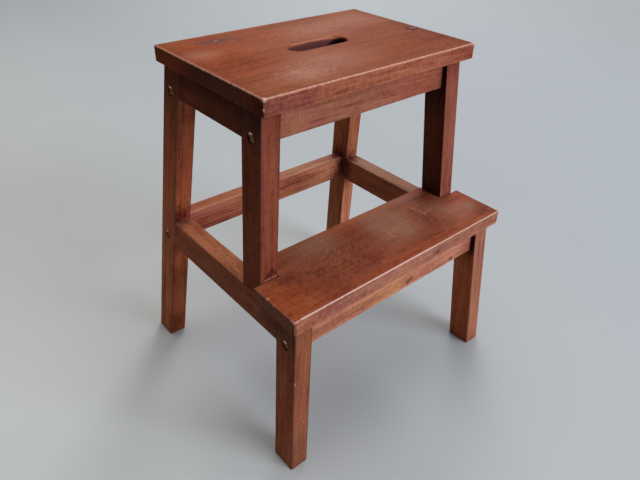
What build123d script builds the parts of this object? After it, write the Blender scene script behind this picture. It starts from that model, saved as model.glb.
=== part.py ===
"""Fixed two-step wooden stool.

Two flat side frames lean towards each other. Each is a rear leg, an upper post and a front leg, dowelled
to an upper and a lower side rail. Four cross rails tie the frames together, each end held by a connector
bolt in a barrel nut and by one dowel. The top board has a hand slot. The step board is notched round the
upper posts. Both boards are screwed on from below.

The origin is on the floor in the middle of the footprint, +X to the right, +Y to the back, +Z up.
The left-hand pieces of the side frames are drawn and the right-hand ones are their mirror images.
"""

import os
from math import cos, radians, sin, tan

from build123d import *

# Overall sizes, in millimetres and degrees
overall_height = 500
base_width = 418
base_depth = 383
step_height = 264

# How far the side frames, legs and posts stand off the vertical
frame_tilt = 4.9
rear_lean = 7.9
post_lean = 3.0
front_lean = 4.0

# Timber
leg_width = 38.5
leg_thickness = 27
rail_thickness = 22.5
rail_height = 39.5
top_rail_height = 41
lower_side_rail_height = 41.5
step_rail_height = 46
top_thickness = 21
step_thickness = 22
post_setback = 89.2

# Boards beyond the frame that carries them
top_front_overhang = 14.7
top_back_overhang = 8.5
top_side_overhang = 7
step_front_overhang = 9.5
step_side_overhang = 9.7
tongue_overhang = 2.8
notch_clearance = 0.5

# Hand slot
slot_length = 95
slot_width = 28
slot_behind_centre = 2.5

# Rounded and broken edges
edge_round = 1.2
board_round = 1.5
board_corner = 1
slot_round = 2.5
foot_chamfer = 0.6

# Connector bolts and barrel nuts
bolt_diameter = 6
bolt_clearance = 0.5
top_bolt_rise = 7.2
low_bolt_rise = 9.2
bolt_tail = 4
head_diameter = 13
head_height = 3.4
head_rim = 1
socket_across_flats = 4
socket_depth = 2.2
spot_face_margin = 0.5
spot_face_depth = 0.3
nut_diameter = 10
nut_length = 12
nut_slot_width = 1.5
nut_slot_depth = 1.5

# Dowels
dowel_diameter = 8
dowel_depth = 15
dowel_chamfer = 1
dowel_edge = 10.5
dowel_relief = 1
hole_web = 2

# Countersunk screws
screw_diameter = 4
screw_head_diameter = 8
screw_head_angle = 90
recess_length = 4.4
recess_width = 1.2
recess_depth = 1.5
screw_sink = 0.5
screw_point = 4
screw_bite = 14
screw_from_rail_end = 52
screw_from_post = 10

# Fit of fasteners in their holes, and how far outside a slanting face a drill starts
fit_clearance = 0.1
drill_start = 2

tilt = radians(frame_tilt)
top_underside = overall_height - top_thickness
step_underside = step_height - step_thickness
dowel_hole = dowel_diameter / 2 + fit_clearance
bolt_hole = (bolt_diameter + bolt_clearance) / 2
screw_hole = screw_diameter / 2 + fit_clearance
spot_face_radius = head_diameter / 2 + spot_face_margin
seat_depth = spot_face_radius * tan(tilt) + spot_face_depth
side_dowel_depth = leg_width / 2 - dowel_diameter / 2 - dowel_relief - hole_web
cross_dowel_depth = leg_thickness / 2 - fit_clearance
nut_setback = dowel_depth + dowel_relief + nut_diameter / 2 + hole_web
left = -1
right = 1


# Lines of the frame


def outer_half_width(z):
    """Half the width over the side frames at height z."""
    return base_width / 2 - z * tan(tilt)


def inner_half_width(z):
    """Half the clear width between the side frames at height z."""
    return outer_half_width(z) - leg_thickness / cos(tilt)


class Upright:
    """Front and back faces of a leaning leg or post, as depths at a height on the frame's outer face."""

    def __init__(self, front_at_floor, lean):
        self.front_at_floor = front_at_floor
        self.slope = tan(radians(lean))
        self.width = leg_width / cos(radians(lean))

    def front(self, z):
        return self.front_at_floor + self.slope * z

    def back(self, z):
        return self.front(z) + self.width

    def centre(self, z):
        return self.front(z) + self.width / 2


rear_leg = Upright(base_depth / 2 - leg_width / cos(radians(rear_lean)), -rear_lean)
front_leg = Upright(-base_depth / 2, front_lean)
upper_post = Upright(
    post_setback - base_depth / 2 - step_underside * tan(radians(post_lean)), post_lean
)

# Outer face of the left side frame: x runs back, y runs up the frame, z runs into the wood
frame_face = Plane(
    origin=(-base_width / 2, 0, 0), x_dir=(0, 1, 0), z_dir=(cos(tilt), 0, -sin(tilt))
)
frame_up = frame_face.y_dir


def frame_middle(y, z):
    """Point at depth y and outer-face height z, halfway through the left frame's thickness."""
    return frame_face.from_local_coords((y, z / cos(tilt), leg_thickness / 2))


class CrossRail:
    """Place of a cross rail between two like uprights, and of the fasteners at its ends."""

    def __init__(self, upright, high, height, bolt_rise):
        self.low = high - height
        self.high = high
        self.middle = upright.centre((self.low + high) / 2)
        self.bolt_z = self.low + bolt_rise
        self.bolt_y = upright.centre(self.bolt_z)
        self.dowel_z = high - dowel_edge
        self.dowel_y = upright.centre(self.dowel_z)
        self.seat_x = outer_half_width(self.bolt_z) - seat_depth
        self.nut_x = inner_half_width(self.bolt_z) - nut_setback
        self.bolt_length = self.seat_x - self.nut_x + nut_diameter / 2 + bolt_tail

    def bolt_seat(self, side):
        """Seat of the bolt's head on the upright, facing out of the stool."""
        return Plane((side * self.seat_x, self.bolt_y, self.bolt_z), z_dir=(side, 0, 0))

    def nut_mouth(self, side):
        """Mouth of the nut's hole in the rail's underside, facing down."""
        return Plane((side * self.nut_x, self.bolt_y, self.low), z_dir=(0, 0, -1))

    def nut_end(self, side):
        """Slotted end of the nut, facing down, so that the bolt crosses the nut at half its length."""
        return Plane((side * self.nut_x, self.bolt_y, self.bolt_z - nut_length / 2), z_dir=(0, 0, -1))

    def dowel_mouth(self, side):
        """Mouth of the dowel's hole in the rail's end, facing out of the rail."""
        x = side * inner_half_width(self.dowel_z)
        return Plane((x, self.dowel_y, self.dowel_z), z_dir=(side, 0, 0))

    def screw_face(self, side):
        """Face of the head of a screw that goes up through the rail, facing down."""
        x = side * (inner_half_width(self.low) - screw_from_rail_end)
        return Plane((x, self.middle, self.low + screw_sink), z_dir=(0, 0, -1))


top_front_rail = CrossRail(upper_post, top_underside, top_rail_height, top_bolt_rise)
top_rear_rail = CrossRail(rear_leg, top_underside, top_rail_height, top_bolt_rise)
lower_rear_rail = CrossRail(rear_leg, step_underside, rail_height, low_bolt_rise)
step_front_rail = CrossRail(front_leg, step_underside, step_rail_height, low_bolt_rise)


class SideRail:
    """Place of a side rail between a front and a back upright of the left frame."""

    def __init__(self, ahead, behind, high, height):
        self.ahead = ahead
        self.behind = behind
        self.low = high - height
        self.high = high
        self.dowel_heights = (self.low + dowel_edge, high - dowel_edge)

    def front_mouth(self, z):
        """Mouth of a dowel's hole in the rail's front end, facing forwards."""
        return Plane(frame_middle(self.ahead.back(z), z), z_dir=(0, -1, 0))

    def back_mouth(self, z):
        """Mouth of a dowel's hole in the rail's back end, facing backwards."""
        return Plane(frame_middle(self.behind.front(z), z), z_dir=(0, 1, 0))


upper_side_rail = SideRail(upper_post, rear_leg, top_underside, rail_height)
lower_side_rail = SideRail(front_leg, rear_leg, step_underside, lower_side_rail_height)

# Mouths of the dowel holes in the top of the lower side rail, where an upper post stands
post_foot_mouths = [
    Plane(frame_middle(upper_post.front(step_underside) + dowel_edge, step_underside), z_dir=frame_up),
    Plane(frame_middle(upper_post.back(step_underside) - dowel_edge, step_underside), z_dir=frame_up),
]

# Head faces of the screws that hold the two boards
side_screw_y = upper_post.front(step_underside) - screw_from_post
side_screw_x = frame_middle(side_screw_y, (lower_side_rail.low + lower_side_rail.high) / 2).X
side_screw_z = frame_middle(side_screw_y, lower_side_rail.low).Z + screw_sink
side_screws = [
    Plane((x, side_screw_y, side_screw_z), z_dir=(0, 0, -1)) for x in (side_screw_x, -side_screw_x)
]
step_screws = [step_front_rail.screw_face(side) for side in (left, right)] + side_screws
top_screws = [
    rail.screw_face(side) for rail in (top_front_rail, top_rear_rail) for side in (left, right)
]


# Shared operations


def save(builder, name):
    """Label a finished piece and write it."""
    builder.part.label = name
    export_step(builder.part, f"parts/{name}.step")


def save_pair(builder, name):
    """Write a left-hand piece and its right-hand mirror image."""
    save(builder, f"{name}_left")
    with BuildPart() as right_piece:
        mirror(builder.part, about=Plane.YZ)
    save(right_piece, f"{name}_right")


def frame_blank(corners, low, high):
    """Flat piece of the left side frame, cut level at two heights."""
    with BuildSketch(frame_face) as outline:
        with BuildLine():
            Polyline(*corners, close=True)
        make_face()
    extrude(outline.sketch, amount=leg_thickness)
    split(bisect_by=Plane.XY.offset(low), keep=Keep.TOP)
    split(bisect_by=Plane.XY.offset(high), keep=Keep.BOTTOM)


def upright_blank(upright, low, high):
    """Leg or post between two level cuts."""
    start = low - leg_thickness
    end = high + leg_thickness
    corners = [
        (upright.front(start), start / cos(tilt)),
        (upright.back(start), start / cos(tilt)),
        (upright.back(end), end / cos(tilt)),
        (upright.front(end), end / cos(tilt)),
    ]
    frame_blank(corners, low, high)


def side_rail_blank(rail):
    """Side rail between two leaning uprights, square underneath and level on top."""
    spare = rail.high + leg_thickness
    corners = [
        (rail.ahead.back(rail.low), rail.low / cos(tilt)),
        (rail.behind.front(rail.low), rail.low / cos(tilt)),
        (rail.behind.front(spare), spare / cos(tilt)),
        (rail.ahead.back(spare), spare / cos(tilt)),
    ]
    frame_blank(corners, rail.low - leg_thickness, rail.high)


def drill(mouth, radius, depth):
    """Blind hole from a mouth plane, started outside it because the face there may slant."""
    with Locations(mouth.offset(drill_start)):
        Hole(radius, depth + drill_start)


def drill_rail_joint(rail):
    """Bolt hole with its spot face, and dowel hole, where a cross rail meets the left upright."""
    with Locations(rail.bolt_seat(left).offset(seat_depth)):
        CounterBoreHole(bolt_hole, spot_face_radius, seat_depth, leg_thickness * 2)
    drill(-rail.dowel_mouth(left), dowel_hole, cross_dowel_depth + dowel_relief)


def drill_side_joint(mouths):
    """Dowel holes in an upright, where the ends of a side rail meet it."""
    for mouth in mouths:
        drill(-mouth, dowel_hole, side_dowel_depth + dowel_relief)


def turned(plane, *outline):
    """Solid turned about a plane's normal, from points given as distance along the normal and radius."""
    with BuildSketch(Plane(plane.origin, x_dir=plane.z_dir, z_dir=plane.x_dir)) as section:
        with BuildLine():
            Polyline(*outline, close=True)
        make_face()
    revolve(section.sketch, axis=Axis(plane.origin, plane.z_dir))


def dowel(mouth, depth, reach):
    """Dowel that goes to a depth behind a mouth plane and reaches out of it."""
    radius = dowel_diameter / 2
    turned(
        mouth,
        (-depth, 0),
        (-depth, radius - dowel_chamfer),
        (dowel_chamfer - depth, radius),
        (reach - dowel_chamfer, radius),
        (reach, radius - dowel_chamfer),
        (reach, 0),
    )


def connector_bolt(seat, length):
    """Bolt with a domed head on a seat plane, and a hexagon socket in the head."""
    shank = bolt_diameter / 2
    head = head_diameter / 2
    with BuildSketch(Plane(seat.origin, x_dir=seat.z_dir, z_dir=seat.x_dir)) as section:
        with BuildLine():
            Polyline(
                (head_height, 0),
                (-length, 0),
                (-length, shank),
                (0, shank),
                (0, head),
                (head_rim, head),
            )
            TangentArc((head_height, 0), (head_rim, head), tangent=(0, 1))
        make_face()
    revolve(section.sketch, axis=Axis(seat.origin, seat.z_dir))
    with BuildSketch(seat.offset(head_height)) as socket:
        RegularPolygon(socket_across_flats / 2, 6, major_radius=False)
    extrude(socket.sketch, amount=-socket_depth, mode=Mode.SUBTRACT)


def barrel_nut(end):
    """Barrel nut behind its end plane, with a screwdriver slot that shows which way its hole points."""
    with BuildSketch(end) as barrel:
        Circle(nut_diameter / 2)
    extrude(barrel.sketch, amount=-nut_length)
    with BuildSketch(end) as slot:
        Rectangle(nut_diameter, nut_slot_width)
    extrude(slot.sketch, amount=-nut_slot_depth, mode=Mode.SUBTRACT)


def screw(face, length):
    """Countersunk screw with its head's face on a plane and its point behind it."""
    head_depth = (screw_head_diameter - screw_diameter) / 2 / tan(radians(screw_head_angle / 2))
    turned(
        face,
        (0, 0),
        (0, screw_head_diameter / 2),
        (-head_depth, screw_diameter / 2),
        (screw_point - length, screw_diameter / 2),
        (-length, 0),
    )
    with BuildSketch(face) as recess:
        Rectangle(recess_length, recess_width)
        Rectangle(recess_width, recess_length)
    extrude(recess.sketch, amount=-recess_depth, mode=Mode.SUBTRACT)


def screw_holes(faces):
    """Countersunk clearance holes for screws, through the rail that they go up through."""
    with Locations(*faces):
        CounterSinkHole(
            screw_hole,
            screw_head_diameter / 2 + fit_clearance,
            counter_sink_angle=screw_head_angle,
        )


def pilot_holes(faces, underside):
    """Holes in a board's underside for the ends of its screws."""
    for face in faces:
        mouth = Plane((face.origin.X, face.origin.Y, underside), z_dir=(0, 0, -1))
        with Locations(mouth):
            Hole(screw_hole, screw_bite + fit_clearance)


os.makedirs("parts", exist_ok=True)

# Legs and posts
with BuildPart() as rear_leg_left:
    upright_blank(rear_leg, 0, top_underside)
    fillet(rear_leg_left.edges().sort_by(SortBy.LENGTH)[-4:], edge_round)
    chamfer(rear_leg_left.faces().sort_by(Axis.Z)[0].edges(), foot_chamfer)
    for rail in (top_rear_rail, lower_rear_rail):
        drill_rail_joint(rail)
    for rail in (upper_side_rail, lower_side_rail):
        drill_side_joint([rail.back_mouth(z) for z in rail.dowel_heights])
save_pair(rear_leg_left, "rear_leg")

with BuildPart() as front_leg_left:
    upright_blank(front_leg, 0, step_underside)
    fillet(front_leg_left.edges().sort_by(SortBy.LENGTH)[-4:], edge_round)
    chamfer(front_leg_left.faces().sort_by(Axis.Z)[0].edges(), foot_chamfer)
    drill_rail_joint(step_front_rail)
    drill_side_joint([lower_side_rail.front_mouth(z) for z in lower_side_rail.dowel_heights])
save_pair(front_leg_left, "front_leg")

with BuildPart() as upper_post_left:
    upright_blank(upper_post, step_underside, top_underside)
    fillet(upper_post_left.edges().sort_by(SortBy.LENGTH)[-4:], edge_round)
    drill_rail_joint(top_front_rail)
    drill_side_joint([upper_side_rail.front_mouth(z) for z in upper_side_rail.dowel_heights])
    for mouth in post_foot_mouths:
        drill(-mouth, dowel_hole, dowel_depth + dowel_relief)
save_pair(upper_post_left, "upper_post")

# Side rails with the dowels in their ends
for rail_name, rail in (("upper_side_rail", upper_side_rail), ("lower_side_rail", lower_side_rail)):
    end_mouths = [rail.front_mouth(z) for z in rail.dowel_heights]
    end_mouths += [rail.back_mouth(z) for z in rail.dowel_heights]
    with BuildPart() as side_rail:
        side_rail_blank(rail)
        fillet(side_rail.edges().sort_by(SortBy.LENGTH)[-4:], edge_round)
        for mouth in end_mouths:
            drill(mouth, dowel_hole, dowel_depth + dowel_relief)
        if rail is lower_side_rail:
            for mouth in post_foot_mouths:
                drill(mouth, dowel_hole, dowel_depth + dowel_relief)
            screw_holes(side_screws[:1])
    save_pair(side_rail, rail_name)

    with BuildPart() as side_rail_dowels:
        for mouth in end_mouths:
            dowel(mouth, dowel_depth, side_dowel_depth)
    save_pair(side_rail_dowels, f"{rail_name}_dowels")

with BuildPart() as post_foot_dowels:
    for mouth in post_foot_mouths:
        dowel(mouth, dowel_depth, dowel_depth)
save_pair(post_foot_dowels, "post_foot_dowels")

# Cross rails with the bolts, barrel nuts and dowels at their ends
cross_rails = {
    "top_front_rail": top_front_rail,
    "top_rear_rail": top_rear_rail,
    "lower_rear_rail": lower_rear_rail,
    "step_front_rail": step_front_rail,
}
for rail_name, rail in cross_rails.items():
    with BuildPart() as cross_rail:
        with BuildSketch(Plane.XZ.offset(rail_thickness / 2 - rail.middle)):
            with BuildLine():
                Polyline(
                    (-inner_half_width(rail.low), rail.low),
                    (inner_half_width(rail.low), rail.low),
                    (inner_half_width(rail.high), rail.high),
                    (-inner_half_width(rail.high), rail.high),
                    close=True,
                )
            make_face()
        extrude(amount=-rail_thickness)
        fillet(cross_rail.edges().sort_by(SortBy.LENGTH)[-4:], edge_round)
        for side in (left, right):
            with Locations(rail.bolt_seat(side)):
                Hole(bolt_hole, rail.bolt_length + dowel_relief)
            with Locations(rail.nut_mouth(side)):
                Hole(nut_diameter / 2 + fit_clearance, rail.bolt_z - rail.low + nut_length / 2)
            drill(rail.dowel_mouth(side), dowel_hole, dowel_depth + dowel_relief)
        if rail is not lower_rear_rail:
            screw_holes([rail.screw_face(side) for side in (left, right)])
    save(cross_rail, rail_name)

    with BuildPart() as bolts:
        for side in (left, right):
            connector_bolt(rail.bolt_seat(side), rail.bolt_length)
    save(bolts, f"{rail_name}_bolts")

    with BuildPart() as nuts:
        for side in (left, right):
            barrel_nut(rail.nut_end(side))
            with Locations(rail.bolt_seat(side)):
                Hole(bolt_diameter / 2 + fit_clearance, rail.bolt_length)
    save(nuts, f"{rail_name}_nuts")

    with BuildPart() as rail_dowels:
        for side in (left, right):
            dowel(rail.dowel_mouth(side), dowel_depth, cross_dowel_depth)
    save(rail_dowels, f"{rail_name}_dowels")

# Top board with its hand slot
top_front = upper_post.front(top_underside) - top_front_overhang
top_back = rear_leg.back(top_underside) + top_back_overhang
top_width = 2 * (outer_half_width(top_underside) + top_side_overhang)
with BuildPart() as top_board:
    with BuildSketch(Plane((0, (top_front + top_back) / 2, top_underside))):
        RectangleRounded(top_width, top_back - top_front, board_corner)
        with Locations((0, slot_behind_centre)):
            SlotOverall(slot_length, slot_width, mode=Mode.SUBTRACT)
    extrude(amount=top_thickness)
    broad_faces = top_board.faces().filter_by(Axis.Z)
    fillet([edge for face in broad_faces for edge in face.outer_wire().edges()], board_round)
    broad_faces = top_board.faces().filter_by(Axis.Z)
    fillet([edge for face in broad_faces for edge in face.inner_wires().edges()], slot_round)
    pilot_holes(top_screws, top_underside)
save(top_board, "top_board")

# Step board, notched round the upper posts so that a tongue reaches back between them
step_half_width = outer_half_width(step_underside) + step_side_overhang
step_front = front_leg.front(step_underside) - step_front_overhang
ear_back = upper_post.front(step_underside) - notch_clearance
tongue_half_width = inner_half_width(step_height) - notch_clearance
tongue_back = upper_post.back(step_height) + tongue_overhang
with BuildPart() as step_board:
    with BuildSketch(Plane.XY.offset(step_underside)) as step_outline:
        with BuildLine():
            Polyline(
                (-step_half_width, step_front),
                (step_half_width, step_front),
                (step_half_width, ear_back),
                (tongue_half_width, ear_back),
                (tongue_half_width, tongue_back),
                (-tongue_half_width, tongue_back),
                (-tongue_half_width, ear_back),
                (-step_half_width, ear_back),
                close=True,
            )
        make_face()
        corners = step_outline.vertices()
        notch_corners = [
            corner for corner in corners if corner.Y < tongue_back and abs(corner.X) < step_half_width
        ]
        fillet([corner for corner in corners if corner not in notch_corners], board_corner)
    extrude(amount=step_thickness)
    broad_faces = step_board.faces().filter_by(Axis.Z)
    fillet(broad_faces.edges(), board_round)
    pilot_holes(step_screws, step_underside)
save(step_board, "step_board")

# Screws that hold the boards, from below
for board_name, faces, underside in (
    ("top_board", top_screws, top_underside),
    ("step_board", step_screws, step_underside),
):
    with BuildPart() as board_screws:
        for face in faces:
            screw(face, underside - face.origin.Z + screw_bite)
    save(board_screws, f"{board_name}_screws")
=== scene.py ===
"""Two-step wooden stool: stained wood, bolt and screw finishes, and a plain studio stage."""

from dataclasses import dataclass
from math import cos, pi, radians, sin

import bpy
from bpy.props import FloatProperty, FloatVectorProperty, PointerProperty
from mathutils import Matrix, Vector


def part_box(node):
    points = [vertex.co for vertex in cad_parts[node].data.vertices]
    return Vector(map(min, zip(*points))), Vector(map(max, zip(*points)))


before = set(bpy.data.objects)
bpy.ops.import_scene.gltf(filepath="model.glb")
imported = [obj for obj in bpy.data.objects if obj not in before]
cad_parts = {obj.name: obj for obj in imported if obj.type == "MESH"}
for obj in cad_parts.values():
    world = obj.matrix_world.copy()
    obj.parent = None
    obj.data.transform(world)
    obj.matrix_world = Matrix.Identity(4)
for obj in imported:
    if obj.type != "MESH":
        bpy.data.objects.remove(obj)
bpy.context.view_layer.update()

bl_info = {
    "name": "Two-step stool finish",
    "version": (1, 0, 0),
    "blender": (4, 5, 0),
    "location": "View3D > Sidebar > Stool",
    "description": "Stained wood, fittings and a studio stage for a two-step wooden stool",
    "category": "Object",
}

SENSOR_WIDTH = 36.0
IMAGE_WIDTH = 640
SIDES = ("left", "right")
CROSS_RAILS = ("top_front_rail", "top_rear_rail", "lower_rear_rail", "step_front_rail")
X_AXIS, Y_AXIS, Z_AXIS = range(3)
ORANGE_CAST = (1.05, 1.12, 0.98)
PURPLE_CAST = (0.93, 0.84, 1.00)
FACES = {"left": (X_AXIS, -1.0), "front": (Y_AXIS, -1.0), "upper": (Z_AXIS, 1.0)}
STAGE_AIM = (0.0, 0.0, 0.25)
LAMPS = {
    "ceiling": {"place": (0.4, 0.7, 4.0), "size": (3.6, 3.6), "colour": (1.0, 0.97, 0.92)},
    "front": {"place": (1.3, -4.0, 2.1), "size": (2.6, 2.2), "colour": (0.91, 0.98, 1.10)},
    "back": {"place": (2.46, 3.15, 1.65), "size": (1.0, 0.9), "colour": (0.95, 0.98, 1.0)},
    "window": {"place": (3.20, 2.50, 2.85), "size": (1.5, 1.2), "colour": (0.97, 0.98, 1.0)},
}
BRIGHT_SIDE = (0.75, -0.35, 0.55)
ROOM_LIGHT = ((0.03, 0.03, 0.03), (0.16, 0.16, 0.165))
BACKDROP = ((0.42, 0.42, 0.43), (0.56, 0.57, 0.58))
# Painted light on the floor: warmer and lighter on the left, cooler and darker on the right.
FLOOR_PAINTED_LIGHT = ((1.14, 1.13, 1.09), (0.88, 0.91, 0.93))
FLOOR_PAINTED_LIGHT_REACH = 0.7
FLOOR_FADE = (2.0, 5.0)
BOUNCE_REACH = (0.35, 1.30)
BOUNCE_SHARE = (0.95, 0.45)


class StainSettings(bpy.types.PropertyGroup):
    """Colours and scales of the stained wood."""

    mid: FloatVectorProperty(
        name="Stain", description="Ordinary colour of the stained wood",
        subtype="COLOR", min=0.0, max=1.0, default=(0.280, 0.071, 0.031))
    dark: FloatVectorProperty(
        name="Dark streaks", description="Wood that took the most stain",
        subtype="COLOR", min=0.0, max=1.0, default=(0.145, 0.030, 0.012))
    light: FloatVectorProperty(
        name="Light streaks", description="Wood that took the least stain",
        subtype="COLOR", min=0.0, max=1.0, default=(0.350, 0.102, 0.048))
    # This colour also paints highlights on lit edges and rims.
    worn_and_highlight: FloatVectorProperty(
        name="Worn wood", description="Bare wood where the stain has rubbed off",
        subtype="COLOR", min=0.0, max=1.0, default=(0.700, 0.400, 0.300))
    # This colour also paints the sheen of a bright window on the boards, and a highlight on a lit edge.
    pale_haze_and_sheen: FloatVectorProperty(
        name="Scuffed lacquer", description="Dull patches where the lacquer has been walked on",
        subtype="COLOR", min=0.0, max=1.0, default=(0.400, 0.200, 0.145))
    # This colour also paints shade in the hand slot.
    pooled_stain_and_shade: FloatVectorProperty(
        name="Pooled stain", description="Stain that lies thick in corners, knots and the hand slot",
        subtype="COLOR", min=0.0, max=1.0, default=(0.060, 0.018, 0.017))
    ring_spacing: FloatProperty(
        name="Ring spacing", description="Width of one growth ring",
        unit="LENGTH", min=0.001, default=0.0055)
    wear_width: FloatProperty(
        name="Wear width", description="How far wear reaches in from an edge",
        unit="LENGTH", min=0.0002, default=0.0022)
    roughness: FloatProperty(
        name="Roughness", description="Mean roughness of the sealed wood",
        subtype="FACTOR", min=0.0, max=1.0, default=0.52)


class FittingSettings(bpy.types.PropertyGroup):
    """Colours of the bolts, nuts, screws and dowels."""

    bronze: FloatVectorProperty(
        name="Bolt bronze", description="Dark plating of the bolt heads",
        subtype="COLOR", min=0.0, max=1.0, default=(0.115, 0.062, 0.032))
    # This colour also paints the highlight on the upper side of the bolt heads.
    bronze_worn_and_highlight: FloatVectorProperty(
        name="Worn bronze", description="Bolt plating rubbed bright on its upper side",
        subtype="COLOR", min=0.0, max=1.0, default=(0.760, 0.540, 0.380))
    zinc: FloatVectorProperty(
        name="Zinc", description="Plating of the nuts and screws",
        subtype="COLOR", min=0.0, max=1.0, default=(0.560, 0.570, 0.570))
    beech: FloatVectorProperty(
        name="Dowel wood", description="Plain wood of the dowels",
        subtype="COLOR", min=0.0, max=1.0, default=(0.560, 0.350, 0.190))


class StageSettings(bpy.types.PropertyGroup):
    """Floor, lamps and camera."""

    floor: FloatVectorProperty(
        name="Floor", description="Colour of the plain floor",
        subtype="COLOR", min=0.0, max=1.0, default=(0.454, 0.468, 0.478))
    floor_size: FloatProperty(
        name="Floor size", description="Side of the square floor",
        unit="LENGTH", min=1.0, default=40.0)
    ceiling_power: FloatProperty(
        name="Ceiling lamp", description="Power of the wide lamp overhead",
        unit="POWER", min=0.0, default=112.0)
    front_power: FloatProperty(
        name="Front lamp", description="Power of the soft lamp in front and to the right",
        unit="POWER", min=0.0, default=165.0)
    back_power: FloatProperty(
        name="Back lamp", description="Power of the small lamp whose sheen lies on the boards",
        unit="POWER", min=0.0, default=20.0)
    window_power: FloatProperty(
        name="Window lamp", description="Power of the lamp behind and to the right",
        unit="POWER", min=0.0, default=60.0)
    camera_place: FloatVectorProperty(
        name="Camera", description="Place of the camera",
        subtype="TRANSLATION", unit="LENGTH", default=(-0.49208, -0.55877, 0.71022))
    camera_turn: FloatVectorProperty(
        name="Camera turn", description="Yaw, pitch and roll of the camera",
        subtype="EULER", unit="ROTATION",
        default=(radians(-41.325), radians(-34.679), radians(1.702)))
    focal_pixels: FloatProperty(
        name="Focal length", description="Focal length in pixels of the image's width",
        min=1.0, default=565.56)


class ShaderNodes:
    """Adds nodes to one shader tree and links them; a socket and a plain value are both inputs."""

    def __init__(self, tree):
        self.tree = tree
        tree.nodes.clear()

    def feed(self, socket, value):
        """Links a socket to an input, or sets the input to a value."""
        if isinstance(value, bpy.types.NodeSocket):
            self.tree.links.new(value, socket)
        elif socket.type == "RGBA" and len(value) == 3:
            socket.default_value = (*value, 1.0)
        else:
            socket.default_value = value

    def add(self, kind, inputs=None, **settings):
        """Adds one node with its settings and inputs."""
        node = self.tree.nodes.new(kind)
        for name, value in settings.items():
            setattr(node, name, value)
        for name, value in (inputs or {}).items():
            self.feed(node.inputs[name], value)
        return node

    def math(self, operation, *values, clamp=False):
        """One Math node."""
        inputs = dict(enumerate(values))
        return self.add("ShaderNodeMath", inputs, operation=operation, use_clamp=clamp).outputs[0]

    def vector(self, operation, *values):
        """One Vector Math node with a vector result."""
        inputs = dict(enumerate(values))
        return self.add("ShaderNodeVectorMath", inputs, operation=operation).outputs["Vector"]

    def length(self, vector):
        """The length of a vector."""
        return self.add("ShaderNodeVectorMath", {0: vector}, operation="LENGTH").outputs["Value"]

    def dot(self, first, second):
        """The dot product of two vectors."""
        inputs = {0: first, 1: second}
        return self.add("ShaderNodeVectorMath", inputs, operation="DOT_PRODUCT").outputs["Value"]

    def split(self, vector):
        """The three parts of a vector."""
        return list(self.add("ShaderNodeSeparateXYZ", {0: vector}).outputs)

    def join(self, parts):
        """A vector of three parts."""
        return self.add("ShaderNodeCombineXYZ", dict(enumerate(parts))).outputs[0]

    def ramp(self, value, start, end, low=0.0, high=1.0, curve="SMOOTHSTEP"):
        """A rise from low at start to high at end, level outside them."""
        inputs = {0: value, 1: start, 2: end, 3: low, 4: high}
        return self.add("ShaderNodeMapRange", inputs, interpolation_type=curve).outputs[0]

    def mix(self, factor, first, second, blend="MIX"):
        """A colour between two others."""
        node = self.add("ShaderNodeMix", data_type="RGBA", blend_type=blend)
        self.feed(node.inputs[0], factor)
        self.feed(node.inputs[6], first)
        self.feed(node.inputs[7], second)
        return node.outputs[2]

    def noise(self, vector, scale, detail=2.0, roughness=0.5):
        """Noise with so many features to the metre, the same along every axis or one number for each."""
        stretch = (scale, scale, scale) if isinstance(scale, float) else scale
        scaled = self.vector("MULTIPLY", vector, stretch)
        inputs = {"Vector": scaled, "Scale": 1.0, "Detail": detail, "Roughness": roughness}
        return self.add("ShaderNodeTexNoise", inputs).outputs[0]


class Timber:
    """The middle, lean, half sizes and grain direction of one wooden piece."""

    def __init__(self, node, grain, lean_from=None):
        self.node = node
        self.grain = grain
        low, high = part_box(node)
        self.middle = (low + high) / 2
        self.lean = self.measure_lean(lean_from) if lean_from else Vector((0.0, 0.0))
        half = (high - low) / 2
        for axis in (X_AXIS, Y_AXIS):
            half[axis] -= abs(self.lean[axis]) * half.z
        self.half = half
        self.seed = sum(ord(letter) for letter in node) % 97

    def measure_lean(self, upright):
        """How far a leaning upright shifts along X and Y for each metre of height."""
        low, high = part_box(upright)
        near_end = 0.004
        points = [vertex.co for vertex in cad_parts[upright].data.vertices]
        foot = [point for point in points if point.z < low.z + near_end]
        head = [point for point in points if point.z > high.z - near_end]

        def centre(ring, axis):
            values = [point[axis] for point in ring]
            return (min(values) + max(values)) / 2

        rise = high.z - low.z
        shifts = [(centre(head, axis) - centre(foot, axis)) / rise for axis in (X_AXIS, Y_AXIS)]
        if self.grain != Z_AXIS:
            shifts[Y_AXIS] = 0.0
        return Vector(shifts)


def timber_list():
    """Every wooden piece with its grain direction."""
    timbers = [Timber("top_board", X_AXIS), Timber("step_board", X_AXIS)]
    timbers += [Timber(rail, X_AXIS) for rail in CROSS_RAILS]
    for side in SIDES:
        leg = f"rear_leg_{side}"
        timbers += [Timber(f"{rail}_side_rail_{side}", Y_AXIS, leg) for rail in ("upper", "lower")]
        uprights = [f"{kind}_{side}" for kind in ("rear_leg", "front_leg", "upper_post")]
        timbers += [Timber(upright, Z_AXIS, upright) for upright in uprights]
    return {timber.node: timber for timber in timbers}


@dataclass
class Fade:
    """A tint that grows along the grain of one face, from nothing at start to full at end."""

    face: str
    start: float
    end: float
    tint: tuple


@dataclass
class Finish:
    """How one wooden piece differs from the plain stain."""

    # The piece's tint is partly its own tone and partly painted light, which lightens the pieces low down
    # and darkens some under the boards.
    tint: tuple = (1.0, 1.0, 1.0)
    front_light_tint: tuple = None
    upper_sheen_tint: tuple = None
    clouds: float = 0.30
    streaks: float = 0.24
    mottle: float = 0.22
    edge_wear_and_highlight: float = 0.10
    top_wear_and_highlight: float = 0.0
    wear_reach: float = 1.0
    wear_off_front: float = 1.0
    dark_arris: float = 0.0
    gloss: float = 0.010
    dark_ends: float = 0.35
    fades: tuple = ()
    marks: object = None


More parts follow.
